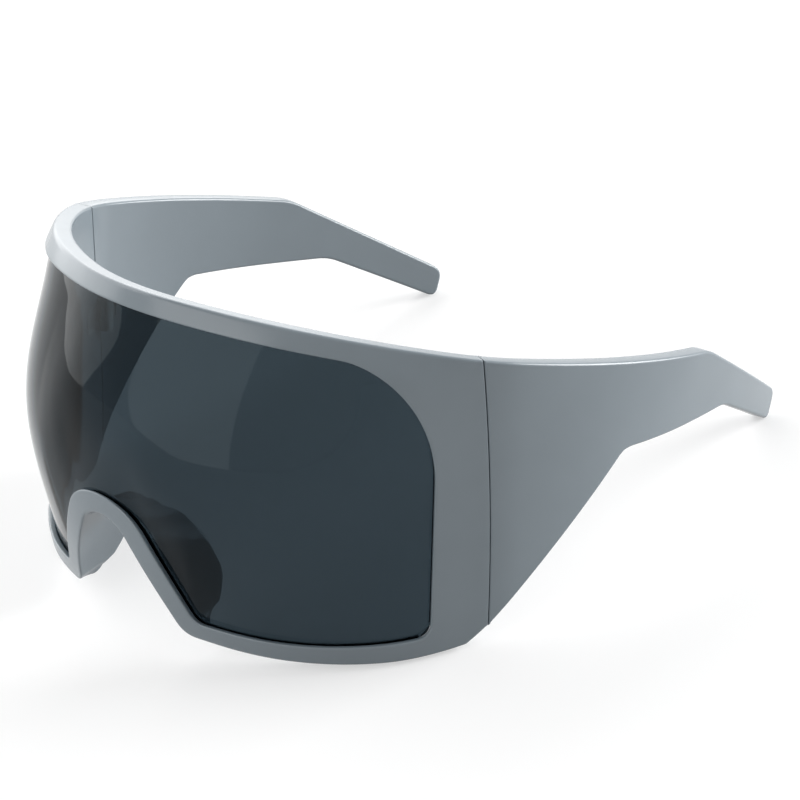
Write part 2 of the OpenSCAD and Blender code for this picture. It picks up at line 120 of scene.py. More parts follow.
# Hinge pockets
HINGE_H = 25
BARREL_R = 1.6
AXIS_IN = 1.9
STACK_H = 8
LEAF_L = 7.6
LEAF_H = 6.4
LEAF_T = 1
POCKET_D = 0.6
LEAF_GAP = 0.1
CUT = 0.5

# Rounding of the moulded edges
TOP_ROUND = 0.7
EDGE_ROUND = 0.6
SEAM_ROUND = 0.3
OPENING_ROUND = 0.5
LIP_ROUND = 0.2
BACK_ROUND = 0.8
REST_ROUND = 1
ROOT_ROUND = 1.6
TIP_FOOT = 1.1

# Width beside each outline in which the front's section follows that outline's normals
EDGE_ZONE = 1.2

# Stations of the fine loft for each one of the solids, and steps round a moulded edge and a lip
FINE = 6
ARC_N = 5
LIP_ARC_N = 2

# Points that the front's section has between corners: outer face, inner face, rest, narrow edge
FACE_N, BACK_N, REST_N, EDGE_N = 9, 4, 8, 1

# Stations in each stretch of the front's outlines, from the brow's middle to the nose arch
BROW_N, CORNER_N, CORNER_SIDE_N, SIDE_N, LOW_CORNER_N = 11, 12, 4, 6, 3
RIM_N, NOSE_CORNER_N, NOSE_N, ARCH_N = 13, 3, 7, 6

# Where the nose rest starts to spread and stops, as shares of the nose corner and the arch
SPREAD_START_SHARE = 3 / 2
SPREAD_END_SHARE = 3 / 4

# Stations in each stretch of a temple's outlines, and grids of the lens and the temple's faces
SLOPE_N, STRAP_N, TURN_N, EAR_N, TIP_N = 12, 9, 4, 8, 4
LENS_ROWS, LENS_COLUMNS = 48, 261
TEMPLE_ROWS = 20

# Limits: how far a mitre may stretch, the share of a side that a corner may take, a length that
# counts as zero, and the gap that a loft's parts close where they meet
MITRE_LEAST = 0.5
CORNER_SHARE = 0.45
TINY = 1e-6
WELD_M = 1e-7

# Edges that bend more than this stay sharp
MOULDED_SHARP = radians(38)
LENS_SHARP = radians(50)
METAL_SHARP = radians(30)


# The pattern's surface
def clamp01(t):
    return np.clip(t, 0, 1)


def ease(t):
    """A smooth step from 0 to 1."""
    c = clamp01(t)
    return c * c * (3 - 2 * c)


def plan(s):
    """Point and direction of the plan curve at arc lengths s from the middle."""
    x, y, angle = np.zeros_like(s), np.zeros_like(s), np.zeros_like(s)
    start = 0
    for length, radius in PLAN_ARCS:
        turn = np.clip(s - start, 0, length) / radius
        x = x + radius * (np.sin(angle + turn) - np.sin(angle))
        y = y + radius * (np.cos(angle) - np.cos(angle + turn))
        angle = angle + turn
        start += length
    return x, y, angle


def rake(s):
    """How far back the pattern runs for each millimetre down, less and less along a temple."""
    q = clamp01((s - SEAM_S) / (BEND_S - SEAM_S))
    return RAKE_Y / FRONT_H * (1 - q) / (1 - (1 - BEND_H / SEAM_H) * q)


def wrap(s, z, d):
    """The pattern's points at depth d behind the outer face, wrapped round the face.

    The swell, 4 u (1 - u), is fullest halfway down the front.
    """
    s, z, d = np.broadcast_arrays(*[np.asarray(v, float) for v in (s, z, d)])
    a = np.abs(s)
    x, y, angle = plan(a)
    u = clamp01(-z / FRONT_H)
    swell = FRONT_SWELL * (1 - ease((a - SWELL_S) / (SEAM_S - SWELL_S)))
    step = SIDE_OUT * ease(a / SIDE_OUT_S) * (1 - ease((a - SEAM_S + SIDE_IN_S) / SIDE_IN_S))
    rise = np.sin(pi / 2 * clamp01(-z / SIDE_OUT_H))
    off = d - 4 * swell * u * (1 - u) - step * rise
    side = np.where(s < 0, -1, 1)
    return np.stack(
        [side * (x - off * np.sin(angle)), y + off * np.cos(angle) - z * rake(a), z], -1)


# Outline helpers: n points each, without the last
def run(a, b, n):
    """A straight line from a to b."""
    t = np.arange(n)[:, None] / n
    return np.asarray(a) + (np.asarray(b) - np.asarray(a)) * t


def bow(a, b, c, n):
    """A curve from a to c that b pulls towards itself."""
    t = np.arange(n)[:, None] / n
    return np.asarray(a) * (1 - t) ** 2 + np.asarray(b) * 2 * t * (1 - t) + np.asarray(c) * t ** 2


def ellipse_arc(c, rs, rz, a0, a1, n):
    a = a0 + (a1 - a0) * np.arange(n) / n
    return np.asarray(c) + np.stack([rs * np.cos(a), rz * np.sin(a)], 1)


def toward(a, b, length):
    """The point at that length from a on the way to b."""
    a, b = np.asarray(a, float), np.asarray(b, float)
    return a + (b - a) / np.linalg.norm(b - a) * length


def seam(down):
    """The seam line, that far down from the top edge."""
    u = np.asarray(down) / SEAM_H
    return np.stack([SEAM_S + SEAM_RUN * (1 - (1 - u) ** 2), -np.asarray(down, float)], -1)


def rim_z(s, up):
    """Height of the lower rim's line, that far up from the rim's foot."""
    return up - FRONT_H + np.maximum(0, s - RIM_FLAT_S) ** 2 / (2 * (RIM_R - up))


ARCH_Z = -BRIDGE_H - NOSE_R
OPENING_NOSE_R = NOSE_R + NOSE_BAND


def nose_s(z, r):
    """Place along the brow of the nose arch's straight side, for an arch of radius r."""
    return (r - (z - ARCH_Z) * sin(NOSE_ANGLE)) / cos(NOSE_ANGLE)


def nose_touch(r):
    """The point where the straight side meets the arch."""
    return np.array([r * cos(NOSE_ANGLE), ARCH_Z + r * sin(NOSE_ANGLE)])


def arch_r(a):
    """Radius of the opening over the nose, at angles a from level."""
    share = ease((a - NOSE_ANGLE) / (pi / 2 - NOSE_ANGLE))
    return OPENING_NOSE_R - (NOSE_BAND - ARCH_BAND) * share


def groove_lip(s, z):
    """Thickness of the lip in front of the lens: thinner towards the nose arch."""
    down = clamp01((z + TOP_BAR_H) / (ARCH_Z + arch_r(pi / 2) + TOP_BAR_H))
    return LIP_T - (LIP_T - ARCH_LIP_T) * (1 - ease(np.abs(s) / ARCH_LIP_S)) * down


NOSE_DIR = np.array([sin(NOSE_ANGLE), -cos(NOSE_ANGLE)])
OPENING_CORNER = np.array([OPEN_S - OPEN_CORNER_S, -TOP_BAR_H - OPEN_CORNER_H])
SEAM_FOOT = seam(SEAM_H)
LOW_CORNER_END = np.array([OPEN_S - OPEN_LOW_R, rim_z(OPEN_S - OPEN_LOW_R, RIM_H)])


def outer_half():
    """The right half of the front's outer outline, clockwise from the brow's middle."""
    corner_h = -OPENING_CORNER[1]
    bend_s = SEAM_FOOT[0] - RIM_END_S
    nose = np.array([nose_s(-FRONT_H, NOSE_R), -FRONT_H])
    rim_s = run([bend_s], [nose[0] + NOSE_CORNER], RIM_N * FINE)[:, 0]
    nose_up = nose - NOSE_CORNER * NOSE_DIR
    side = run([corner_h], [SEAM_H], SIDE_N * FINE)[:, 0]
    return np.concatenate([
        run([0, 0], [OPENING_CORNER[0], 0], BROW_N * FINE),
        run([OPENING_CORNER[0], 0], [SEAM_S, 0], (CORNER_N - CORNER_SIDE_N) * FINE),
        seam(run([0], [corner_h], CORNER_SIDE_N * FINE)[:, 0]),
        seam(side),
        run(SEAM_FOOT, [bend_s, rim_z(bend_s, 0)], LOW_CORNER_N * FINE),
        np.stack([rim_s, rim_z(rim_s, 0)], 1),
        bow(nose + [NOSE_CORNER, 0], nose, nose_up, NOSE_CORNER_N * FINE),
        run(nose_up, nose_touch(NOSE_R), NOSE_N * FINE),
        ellipse_arc([0, ARCH_Z], NOSE_R, NOSE_R, NOSE_ANGLE, pi / 2, ARCH_N * FINE),
        [[0, -BRIDGE_H]],
    ])


def inner_half():
    """The right half of the opening's outline, station by station beside the outer one."""
    low = np.array([OPEN_S, rim_z(OPEN_S, RIM_H)])
    nose = np.array([nose_s(RIM_H - FRONT_H, OPENING_NOSE_R), RIM_H - FRONT_H])
    rim_s = run([LOW_CORNER_END[0]], [nose[0] + REST_T], RIM_N * FINE)[:, 0]
    nose_up = nose - REST_T * NOSE_DIR
    arch_a = run([NOSE_ANGLE], [pi / 2], ARCH_N * FINE)
    return np.concatenate([
        run([0, -TOP_BAR_H], [OPENING_CORNER[0], -TOP_BAR_H], BROW_N * FINE),
        ellipse_arc(OPENING_CORNER, OPEN_CORNER_S, OPEN_CORNER_H, pi / 2, 0, CORNER_N * FINE),
        run([OPEN_S, OPENING_CORNER[1]], low + [0, OPEN_LOW_R], SIDE_N * FINE),
        bow(low + [0, OPEN_LOW_R], low, LOW_CORNER_END, LOW_CORNER_N * FINE),
        np.stack([rim_s, rim_z(rim_s, RIM_H)], 1),
        bow(nose + [REST_T, 0], nose, nose_up, NOSE_CORNER_N * FINE),
        run(nose_up, nose_touch(OPENING_NOSE_R), NOSE_N * FINE),
        [0, ARCH_Z] + arch_r(arch_a) * np.concatenate([np.cos(arch_a), np.sin(arch_a)], 1),
        [[0, ARCH_Z + arch_r(pi / 2)]],
    ])


def closed_loop(half):
    """The right half and its mirror image, as one closed line."""
    return np.concatenate([half, half[-2:0:-1] * [-1, 1]])


def both_sides(half):
    """Values for the right half and again for its mirror image."""
    return np.concatenate([half, half[-2:0:-1]])


def side_normals(loop, hand):
    """Mitred normals of a closed clockwise line: hand 1 points inside it and -1 outside."""
    ahead = np.roll(loop, -1, 0) - loop
    ahead /= np.linalg.norm(ahead, axis=1)[:, None]
    n = hand * np.stack([ahead[:, 1], -ahead[:, 0]], 1)
    before = np.roll(n, 1, 0)
    return (n + before) / np.maximum(1 + (n * before).sum(1), MITRE_LEAST)[:, None]


def smoothed(values):
    """Values round a closed line, each averaged with its two neighbours."""
    return sum(np.roll(values, k) for k in (-1, 0, 1)) / 3


def eased_steps(n):
    """n places between 0 and 1, closer together at the ends."""
    return [(1 - cos(pi * (k + 1) / (n + 1))) / 2 for k in range(n)]


def rounded_section(corners):
    """A closed section for every station, from corners (a, d, radius, arc steps, points after)."""
    points = [np.stack(np.broadcast_arrays(c[0], c[1]), -1).astype(float) for c in corners]
    arcs = []
    for k, (_, _, radius, steps, _) in enumerate(corners):
        p = points[k]
        into, onward = points[k - 1] - p, points[(k + 1) % len(points)] - p
        if not steps:
            arcs.append([p])
            continue
        li = np.maximum(np.linalg.norm(into, axis=-1), TINY)
        lo = np.maximum(np.linalg.norm(onward, axis=-1), TINY)
        a = p + into * (np.minimum(radius, li * CORNER_SHARE) / li)[..., None]
        b = p + onward * (np.minimum(radius, lo * CORNER_SHARE) / lo)[..., None]
        arcs.append([a * (1 - t) ** 2 + p * 2 * t * (1 - t) + b * t ** 2
                     for t in np.linspace(0, 1, steps + 1)])
    line = []
    for k, arc in enumerate(arcs):
        first = arcs[(k + 1) % len(arcs)][0]
        line += arc + [arc[-1] + (first - arc[-1]) * t for t in eased_steps(corners[k][4])]
    return np.stack(line, 1)


def grid_faces(rows, columns, close_rows=True, close_columns=True):
    """Quads between the points of a grid, whose ends may join."""
    r = np.arange(rows if close_rows else rows - 1)
    c = np.arange(columns if close_columns else columns - 1)
    r, c = [v.ravel() for v in np.meshgrid(r, c, indexing="ij")]
    r1, c1 = (r + 1) % rows, (c + 1) % columns
    return np.stack([r * columns + c, r1 * columns + c, r1 * columns + c1, r * columns + c1], 1)


# Resting pose, from the left temple's joint
RAKE_ANGLE = atan(RAKE_Y / FRONT_H)


def hinge_matrix():
    """The left hinge's own frame in the pattern's space: x back, y inwards, z up the axis."""
    s, z = seam(HINGE_H)
    point = wrap(s, z, WALL_T)
    angle = plan(np.array(s))[2]
    turn = atan(cos(RAKE_ANGLE) * tan(angle))
    return (Matrix.Translation(Vector(point)) @ Matrix.Rotation(RAKE_ANGLE, 4, "X")
            @ Matrix.Rotation(turn, 4, "Z"))


HINGE = hinge_matrix()
left_fold = next(j for j in frame["joints"] if j["name"] == "left_temple_fold")
REST_TILT = RAKE_ANGLE + atan2(left_fold["axis"][1], left_fold["axis"][2])
TILT = Matrix.Rotation(-REST_TILT, 4, "X")
SHIFT = Vector(left_fold["pos_m"]) - (TILT @ HINGE @ Vector((0, AXIS_IN, 0))) * MM
STAND = Matrix.Translation(SHIFT) @ Matrix.Scale(MM, 4) @ TILT


def place(points):
    """The pattern's wrapped points in metres, where the glasses rest."""
    m = np.array(STAND)
    return points @ m[:3, :3].T + m[:3, 3]


def make_piece(name, points, faces, body, slot, *nodes):
    """A piece that rides on a body, in place of those nodes."""
    mesh = bpy.data.meshes.new(name)
    mesh.from_pydata(points.tolist(), [], faces)
    mesh.validate()
    obj = bpy.data.objects.new(name, mesh)
    bpy.context.scene.collection.objects.link(obj)
    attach(obj, body)
    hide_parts(*nodes)
    return obj


def seal(obj):
    """Joins the loft's parts along their shared lines and turns every face outwards."""
    edit = bmesh.new()
    edit.from_mesh(obj.data)
    bmesh.ops.remove_doubles(edit, verts=edit.verts, dist=WELD_M)
    bmesh.ops.recalc_face_normals(edit, faces=edit.faces)
    edit.to_mesh(obj.data)
    edit.free()


def dress(obj, material, sharp):
    """Gives a piece its one material, and keeps the edges sharp that bend more than that."""
    obj.data.materials.clear()
    obj.data.materials.append(material)
    obj.data.shade_smooth()
    obj.data.set_sharp_from_angle(angle=sharp)


# Pockets for the hinges
BOX_CORNERS = [(0, 0, 0), (1, 0, 0), (1, 1, 0), (0, 1, 0),
               (0, 0, 1), (1, 0, 1), (1, 1, 1), (0, 1, 1)]
BOX_FACES = [(0, 3, 2, 1), (4, 5, 6, 7), (0, 1, 5, 4),
             (1, 2, 6, 5), (2, 3, 7, 6), (3, 0, 4, 7)]


def box_points(low, size):
    return [Vector([low[k] + size[k] * corner[k] for k in range(3)]) for corner in BOX_CORNERS]


def pocket_boxes(way):
    """The leaf's pocket and the barrels' well: way -1 is on the front and 1 on a temple."""
    boxes = []
    for length, height in ((LEAF_L, LEAF_H), (BARREL_R, STACK_H)):
        reach = length + LEAF_GAP
        low = (-CUT if way > 0 else -reach, -POCKET_D, -height / 2 - LEAF_GAP)
        boxes.append((low, (reach + CUT, LEAF_T + WALL_T, height + 2 * LEAF_GAP)))
    return boxes


def cut_away(obj, points, faces):
    """Takes a closed shape out of a piece, at once."""
    mesh = bpy.data.meshes.new("pocket")
    mesh.from_pydata(points, [], faces)
    cutter = bpy.data.objects.new("pocket", mesh)
    bpy.context.scene.collection.objects.link(cutter)
    modifier = obj.modifiers.new("pocket", "BOOLEAN")
    modifier.operation = "DIFFERENCE"
    modifier.solver = "EXACT"
    modifier.object = cutter
    bpy.context.view_layer.update()
    depsgraph = bpy.context.evaluated_depsgraph_get()
    cut_mesh = bpy.data.meshes.new_from_object(obj.evaluated_get(depsgraph))
    obj.modifiers.remove(modifier)
    obj.data = cut_mesh
    bpy.data.objects.remove(cutter)


def cut_pockets(obj, way, sides):
    """Cuts the pockets on each side, 1 or -1. A mirrored box needs its faces turned round."""
    for side in sides:
        mirror = Matrix.Scale(side, 4, Vector((1, 0, 0)))
        faces = BOX_FACES if side > 0 else [face[::-1] for face in BOX_FACES]
        for low, size in pocket_boxes(way):
            cut_away(obj, [STAND @ mirror @ HINGE @ p for p in box_points(low, size)], faces)


# Materials: each noise is (scale, detail), and the colours and roughnesses come in pairs, between
# which a noise moves
RAMP_START, RAMP_END = 0.35, 0.65

PLASTIC_FLOW, PLASTIC_CLOUD, PLASTIC_PEEL = (35, 3), (120, 4), (900, 2)
PLASTIC_COLOURS = (0.187, 0.222, 0.247), (0.199, 0.236, 0.262)
PLASTIC_ROUGHNESS = 0.20, 0.26
PLASTIC_IOR = 1.5
PEEL_STRENGTH, PEEL_M = 0.03, 0.0002

LENS_CLOUD, LENS_HAZE = (12, 1), (60, 2)
LENS_COLOURS = (0.028, 0.042, 0.052), (0.030, 0.044, 0.055)
LENS_ROUGHNESS = 0.015, 0.03
LENS_REFLECTION = (0.8, 0.95, 1, 1)
LENS_IOR = 1.19

LEAF_SHADE, LEAF_GRAIN = 0.62, (1400, 6)
SCREW_SHADE, SCREW_GRAIN = 0.54, (2200, 6)
GRAIN_ROUGHNESS = 0.7
METAL_DARK_SHARE, METAL_BLUE_SHARE = 0.94, 0.98
METAL_ROUGHNESS = 0.24, 0.36
SCRATCH_STRENGTH, SCRATCH_M = 0.06, 0.0001


def new_material(name):
    material = bpy.data.materials.new(name)
    material.use_nodes = True
    nodes, links = material.node_tree.nodes, material.node_tree.links
    return material, nodes, links, nodes["Principled BSDF"]


def noise(nodes, links, scale_detail, roughness=0.5):
    where = nodes.new("ShaderNodeTexCoord")
    texture = nodes.new("ShaderNodeTexNoise")
    texture.inputs["Scale"].default_value, texture.inputs["Detail"].default_value = scale_detail
    texture.inputs["Roughness"].default_value = roughness
    links.new(where.outputs["Object"], texture.inputs["Vector"])
    return texture


def ramp(nodes, links, source, colours):
    """A colour that follows a noise between two colours."""
    node = nodes.new("ShaderNodeValToRGB")
    ends = node.color_ramp.elements
    for end, position, colour in zip(ends, (RAMP_START, RAMP_END), colours):
        end.position = position
        end.color = (*colour, 1)
    links.new(source.outputs["Fac"], node.inputs["Fac"])
    return node


def greys(values):
    return [(value,) * 3 for value in values]


def bump(nodes, links, source, strength, distance):
    node = nodes.new("ShaderNodeBump")
    node.inputs["Strength"].default_value = strength
    node.inputs["Distance"].default_value = distance
    links.new(source.outputs["Fac"], node.inputs["Height"])
    return node


def colour_and_gloss(links, shader, colour, gloss):
    links.new(colour.outputs["Color"], shader.inputs["Base Color"])
    links.new(gloss.outputs["Color"], shader.inputs["Roughness"])


def frame_plastic():
    """Injection-moulded grey plastic: polished, with faint flow marks and a fine orange peel."""
    material, nodes, links, shader = new_material("frame_plastic")
    colour = ramp(nodes, links, noise(nodes, links, PLASTIC_FLOW), PLASTIC_COLOURS)
    gloss = ramp(nodes, links, noise(nodes, links, PLASTIC_CLOUD), greys(PLASTIC_ROUGHNESS))
    peel = bump(nodes, links, noise(nodes, links, PLASTIC_PEEL), PEEL_STRENGTH, PEEL_M)
    colour_and_gloss(links, shader, colour, gloss)
    links.new(peel.outputs["Normal"], shader.inputs["Normal"])
    shader.inputs["IOR"].default_value = PLASTIC_IOR
    return material


def lens_smoke():
    """Dark smoke lens: clear but deeply tinted, with an index that keeps its reflections faint."""
    material, nodes, links, shader = new_material("lens_smoke")
    tint = ramp(nodes, links, noise(nodes, links, LENS_CLOUD), LENS_COLOURS)
    gloss = ramp(nodes, links, noise(nodes, links, LENS_HAZE), greys(LENS_ROUGHNESS))
    colour_and_gloss(links, shader, tint, gloss)
    shader.inputs["Transmission Weight"].default_value = 1
    shader.inputs["Specular Tint"].default_value = LENS_REFLECTION
    shader.inputs["IOR"].default_value = LENS_IOR
    return material


def hinge_metal(name, shade, scale_detail):
    """Nickel silver for the hinges: fine brush marks in the roughness and the bump."""
    material, nodes, links, shader = new_material(name)
    grain = noise(nodes, links, scale_detail, GRAIN_ROUGHNESS)
    dark, pale = (shade * METAL_DARK_SHARE,) * 3, (shade, shade, shade * METAL_BLUE_SHARE)
    colour = ramp(nodes, links, grain, (dark, pale))
    gloss = ramp(nodes, links, grain, greys(METAL_ROUGHNESS))
    scratches = bump(nodes, links, grain, SCRATCH_STRENGTH, SCRATCH_M)
    colour_and_gloss(links, shader, colour, gloss)
    links.new(scratches.outputs["Normal"], shader.inputs["Normal"])
    shader.inputs["Metallic"].default_value = 1
    return material


plastic = frame_plastic()
smoke = lens_smoke()
leaf_metal = hinge_metal("hinge_metal", LEAF_SHADE, LEAF_GRAIN)
screw_metal = hinge_metal("screw_metal", SCREW_SHADE, SCREW_GRAIN)


# Front frame
def front_frame():
    """The moulding: a section from the outer outline to the opening, swept round them both.

    At each station a runs across from the outer outline, g is 1 where the nose rest stands at
    its full depth, and spread is 1 where it leans fully away from the arch.
    """
    o, i = closed_loop(outer_half()), closed_loop(inner_half())
    n_o, n_i = side_normals(o, 1), side_normals(i, -1)
    half_n = len(o) // 2
    k = np.arange(half_n + 1) / FINE
    rest_k = k - (BROW_N + CORNER_N + SIDE_N + LOW_CORNER_N + RIM_N + NOSE_CORNER_N)
    g = both_sides(ease((rest_k + NOSE_CORNER_N + 1) / NOSE_N))
    spread = both_sides(np.minimum(
        clamp01(rest_k / NOSE_CORNER_N + SPREAD_START_SHARE),
        ease((NOSE_N + SPREAD_END_SHARE * ARCH_N - rest_k) / NOSE_N)))
    seam_k = BROW_N + CORNER_N - CORNER_SIDE_N
    on_seam = both_sides((k >= seam_k) & (k <= BROW_N + CORNER_N + SIDE_N))
    on_top = both_sides(k < seam_k)
    width = np.linalg.norm(i - o, axis=1)
    outer_round = np.where(on_top, TOP_ROUND, EDGE_ROUND)
    edge = smoothed(np.where(on_seam, SEAM_ROUND, outer_round))
    back_edge = smoothed(np.where(on_seam, SEAM_ROUND, BACK_ROUND))
    lean = REST_SPREAD * spread
    deep = WALL_T + (REST_D - WALL_T) * g
    lip = groove_lip(i[:, 0], i[:, 1])
    groove_back = lip + LENS_T + 2 * LENS_GAP
    root = np.minimum(width - EDGE_ROUND, REST_T + lean * WALL_T)
    rest_root = width / 2 + (root - width / 2) * np.maximum(g, spread)
    tip_w = TIP_FOOT + (REST_T - TIP_FOOT) * g
    # From the outer edge: the opening's edge, lip, groove, wall, rest's root and rest's two edges
    section = rounded_section([
        (0 * width, 0, edge, ARC_N, FACE_N),
        (width, 0, OPENING_ROUND, ARC_N, EDGE_N),
        (width, lip, LIP_ROUND, LIP_ARC_N, 0),
        (width - GROOVE_D, lip, 0, 0, 0),
        (width - GROOVE_D, groove_back, 0, 0, 0),
        (width, groove_back, LIP_ROUND, LIP_ARC_N, 0),
        (width, WALL_T, BACK_ROUND, ARC_N, BACK_N),
        (rest_root, WALL_T, ROOT_ROUND * g, ARC_N, REST_N),
        (lean * deep + tip_w, deep, REST_ROUND * g, ARC_N, EDGE_N),
        (lean * deep, deep, back_edge, ARC_N, REST_N),
    ])
    a, d = section[..., 0], section[..., 1]
    w = width[:, None]
    near_o = np.minimum(a, EDGE_ZONE)[..., None] * n_o[:, None]
    near_i = np.minimum(w - a, EDGE_ZONE)[..., None] * n_i[:, None]
    share = clamp01((a - EDGE_ZONE) / (w - 2 * EDGE_ZONE))[..., None]
    q = (o[:, None] + near_o) * (1 - share) + (i[:, None] + near_i) * share
    points = place(wrap(q[..., 0], q[..., 1], d)).reshape(-1, 3)
    faces = grid_faces(*section.shape[:2])
    obj = make_piece("front_frame_shell", points, faces.tolist(), "front", "frame_plastic",
                     "front_frame")
    seal(obj)
    cut_pockets(obj, -1, (1, -1))
    dress(obj, plastic, MOULDED_SHARP)


# Lens
def shield_lens():
    """The lens: a grid on its outer face, another behind it, and the edge between them."""
    end_s = OPEN_S + LENS_BITE
    s = end_s * np.sin(np.linspace(-pi / 2, pi / 2, LENS_COLUMNS))
    a = np.abs(s)
    t = clamp01((a - OPENING_CORNER[0]) / (OPEN_CORNER_S + LENS_BITE))
    top = OPENING_CORNER[1] + (OPEN_CORNER_H + LENS_BITE) * np.sqrt(1 - t ** 2)
    r = OPENING_NOSE_R - LENS_BITE
    over = np.arccos(np.minimum(1, a / r))
    nose = np.where(over > NOSE_ANGLE, ARCH_Z + (arch_r(over) - LENS_BITE) * np.sin(over),
                    ARCH_Z + (r - a * cos(NOSE_ANGLE)) / sin(NOSE_ANGLE))
    rim = rim_z(a, RIM_H) - LENS_BITE + np.maximum(0, a - LOW_CORNER_END[0])
    low = np.maximum(nose, rim)
    v = np.linspace(0, 1, LENS_ROWS + 1)
    z = low[:, None] + (top - low)[:, None] * v
    fade = 1 - ease((a - OPEN_S + LENS_FADE_S) / LENS_FADE_S)
    depth = groove_lip(s[:, None], z) + LENS_GAP
    depth = depth - LENS_SWELL * np.sin(pi * v) ** 2 * fade[:, None]
    outer = wrap(s[:, None], z, depth)
    inner = wrap(s[:, None], z, depth + LENS_T)
    section = np.concatenate([outer, inner[:, ::-1]], 1)
    points = place(section).reshape(-1, 3)
    n = section.shape[1]
    faces = grid_faces(LENS_COLUMNS, n, close_rows=False).tolist()
    last = (LENS_COLUMNS - 1) * n
    for j in range(LENS_ROWS):
        faces.append([j, j + 1, n - 2 - j, n - 1 - j])
        faces.append([last + j, last + n - 1 - j, last + n - 2 - j, last + j + 1])
    obj = make_piece("lens_shell", points, faces, "front", "lens", "shield_lens")
    seal(obj)
    dress(obj, smoke, LENS_SHARP)


# Temples
def temple_lines():
    """Upper and lower outlines of a temple, with as many points in each stretch."""
    seam_top = seam(0) + [SEAM_GAP, 0]
    seam_low = seam(SEAM_H) + [SEAM_GAP, 0]
    low_bend, top_turn = (BEND_S, -BEND_H), (EAR_S, 0)
    low_turn = (EAR_LOW_S, -EAR_LOW_H)
    tip_top, tip_low = (TIP_S, -TIP_TOP_H), (TIP_S - TIP_BACK, -TIP_TOP_H - TIP_H)
    n = FINE
    upper = np.concatenate([
        run(seam_top, (BEND_S - BEND_C, 0), SLOPE_N * n),
        run((BEND_S - BEND_C, 0), (BEND_S + BEND_C, 0), TURN_N * n),
        run((BEND_S + BEND_C, 0), (EAR_S - BEND_C, 0), STRAP_N * n),
        bow((EAR_S - BEND_C, 0), top_turn, toward(top_turn, tip_top, BEND_C), TURN_N * n),
        run(toward(top_turn, tip_top, BEND_C), toward(tip_top, top_turn, TIP_C), EAR_N * n),
        bow(toward(tip_top, top_turn, TIP_C), tip_top, toward(tip_top, tip_low, TIP_C), TIP_N * n),
        [toward(tip_top, tip_low, TIP_C)],
    ])
    slope_end = toward(low_bend, seam_low, BEND_C)
    sag = (seam_low + slope_end) / 2 + [0, 2 * SLOPE_SAG]
    lower = np.concatenate([
        bow(seam_low, sag, slope_end, SLOPE_N * n),
        bow(slope_end, low_bend, toward(low_bend, low_turn, BEND_C), TURN_N * n),
        run(toward(low_bend, low_turn, BEND_C), toward(low_turn, low_bend, BEND_C), STRAP_N * n),
        bow(toward(low_turn, low_bend, BEND_C), low_turn, toward(low_turn, tip_low, BEND_C),
            TURN_N * n),
        run(toward(low_turn, tip_low, BEND_C), toward(tip_low, low_turn, TIP_C), EAR_N * n),
        bow(toward(tip_low, low_turn, TIP_C), tip_low, toward(tip_low, tip_top, TIP_C), TIP_N * n),
        [toward(tip_low, tip_top, TIP_C)],
    ])
    return upper, lower


def temple(name, side, body, node):
    """A temple: rings round its outline make the rounded edge, and a grid fills each face."""
    upper, lower = temple_lines()
    count, rows = len(upper), TEMPLE_ROWS
    v = np.concatenate([[0], eased_steps(rows - 1), [1]])
    first = seam(SEAM_H * v) + [SEAM_GAP, 0]
    last = upper[-1] + (lower[-1] - upper[-1]) * v[:, None]
    # Clockwise: along the top, down the tip, back along the bottom and up the seam
    ring = np.concatenate([upper, last[1:-1], lower[::-1], first[-2:0:-1]])
    low_first = 2 * count + rows - 2
    on_seam = np.arange(len(ring)) >= low_first
    on_seam[0] = True
    reach = smoothed(np.where(on_seam, SEAM_ROUND, EDGE_ROUND))
    normal = side_normals(ring, 1)
    edge = []
    for t in np.linspace(0, pi / 2, ARC_N + 1):
        inset = ring + normal * (reach * (1 - sin(t)))[:, None]
        edge.append((inset, reach * (1 - cos(t))))
    inner = edge[0][0]
    top, bottom = inner[:count], inner[count + rows - 1:low_first + 1][::-1]
    tip = inner[count - 1:count + rows]
    start = np.concatenate([inner[:1], inner[low_first:][::-1]])
    face = top[:, None] + (bottom - top)[:, None] * v[:, None]
    station = np.arange(count)[:, None, None]
    seam_share = 1 - clamp01(station / (SLOPE_N * FINE))
    tip_share = clamp01((station - count + TIP_N * FINE) / (TIP_N * FINE - 1))
    face = face + seam_share * (start - face[0]) + tip_share * (tip - face[-1])
    edge_q = np.stack([q for q, _ in edge] + [q for q, _ in edge[::-1]])
    edge_d = np.stack([d for _, d in edge] + [WALL_T - d for _, d in edge[::-1]])
    edge_faces = grid_faces(len(edge_q), len(ring), close_rows=False)
    face_faces = grid_faces(count, rows + 1, close_rows=False, close_columns=False)
    points, faces, base = [], [], 0
    for q, d, part_faces in ((edge_q, edge_d, edge_faces), (face, 0, face_faces),
                             (face, WALL_T, face_faces)):
        points.append(wrap(side * q[..., 0], q[..., 1], d).reshape(-1, 3))
        faces += (part_faces + base).tolist()
        base += len(points[-1])
    obj = make_piece(name, place(np.concatenate(points)), faces, body, "frame_plastic", node)
    seal(obj)
    cut_pockets(obj, 1, (side,))
    dress(obj, plastic, MOULDED_SHARP)


front_frame()
shield_lens()
temple("temple_left_shell", 1, "left_temple", "temple_left")
temple("temple_right_shell", -1, "right_temple", "temple_right")

# The hinges keep their solids
for node_name, node_obj in frame["nodes"].items():
    if "screw" in node_name:
        dress(node_obj, screw_metal, METAL_SHARP)
    elif "leaf" in node_name:
        dress(node_obj, leaf_metal, METAL_SHARP)


# Studio: a floor, lit to white where it is seen, and soft boxes aimed at the glasses' middle
FLOOR_SIZE_M = 2.4
FLOOR_GREY = 0.48
WHITE_LEVEL = 1
AMBIENT = 0.2
AIM_M = (0, 0, 0.04)

